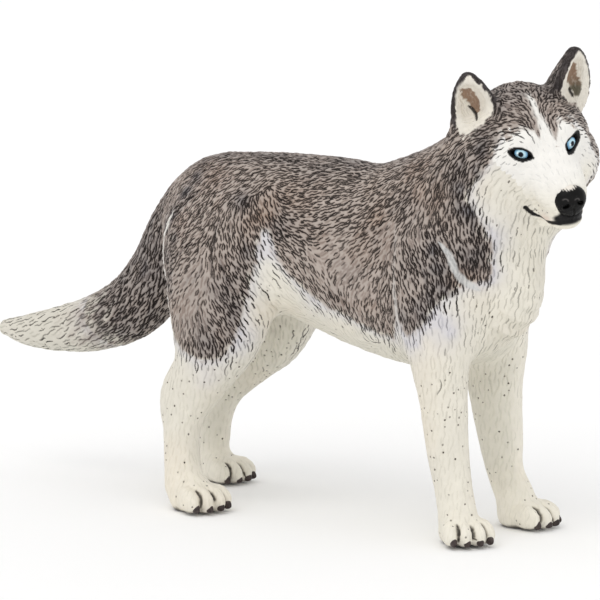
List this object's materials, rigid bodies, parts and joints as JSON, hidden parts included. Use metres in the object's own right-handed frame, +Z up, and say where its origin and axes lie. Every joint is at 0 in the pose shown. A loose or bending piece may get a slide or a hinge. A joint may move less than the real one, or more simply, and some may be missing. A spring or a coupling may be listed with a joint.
{
  "type": "siberian husky toy figurine",
  "caption": "Solid moulded vinyl toy dog of the husky breed form, standing in mid step with its head turned to the right and its tail low.",
  "frame": {"origin": "centre of the bounding box on the floor under the paws", "axes": "+X towards the head, +Y to the dog's left, +Z up; the paw soles lie on z = 0"},
  "size_m": [0.1051, 0.0279, 0.0662],
  "materials": {
    "coat_grey": "matt painted vinyl, taupe grey with a dark wash in the fur grooves",
    "coat_white": "matt painted vinyl, cream white with a few dark specks",
    "eye": "glossy light blue paint with a dark pupil",
    "nose": "satin black paint",
    "claw": "dark grey brown paint"
  },
  "bodies": {
    "root": {"claw_front_left_1": "claw", "claw_front_left_2": "claw", "claw_front_left_3": "claw", "claw_front_left_4": "claw", "claw_front_right_1": "claw", "claw_front_right_2": "claw", "claw_front_right_3": "claw", "claw_front_right_4": "claw", "claw_hind_left_1": "claw", "claw_hind_left_2": "claw", "claw_hind_left_3": "claw", "claw_hind_left_4": "claw", "claw_hind_right_1": "claw", "claw_hind_right_2": "claw", "claw_hind_right_3": "claw", "claw_hind_right_4": "claw", "ear_left": "coat_grey", "ear_right": "coat_grey", "eye_left": "eye", "eye_right": "eye", "foreleg_left": "coat_white", "foreleg_right": "coat_white", "head": "coat_white", "hindleg_left": "coat_grey", "hindleg_right": "coat_grey", "neck": "coat_grey", "nose": "nose", "paw_front_left": "coat_white", "paw_front_right": "coat_white", "paw_hind_left": "coat_white", "paw_hind_right": "coat_white", "tail": "coat_grey", "trunk": "coat_grey"}
  },
  "joints": []
}
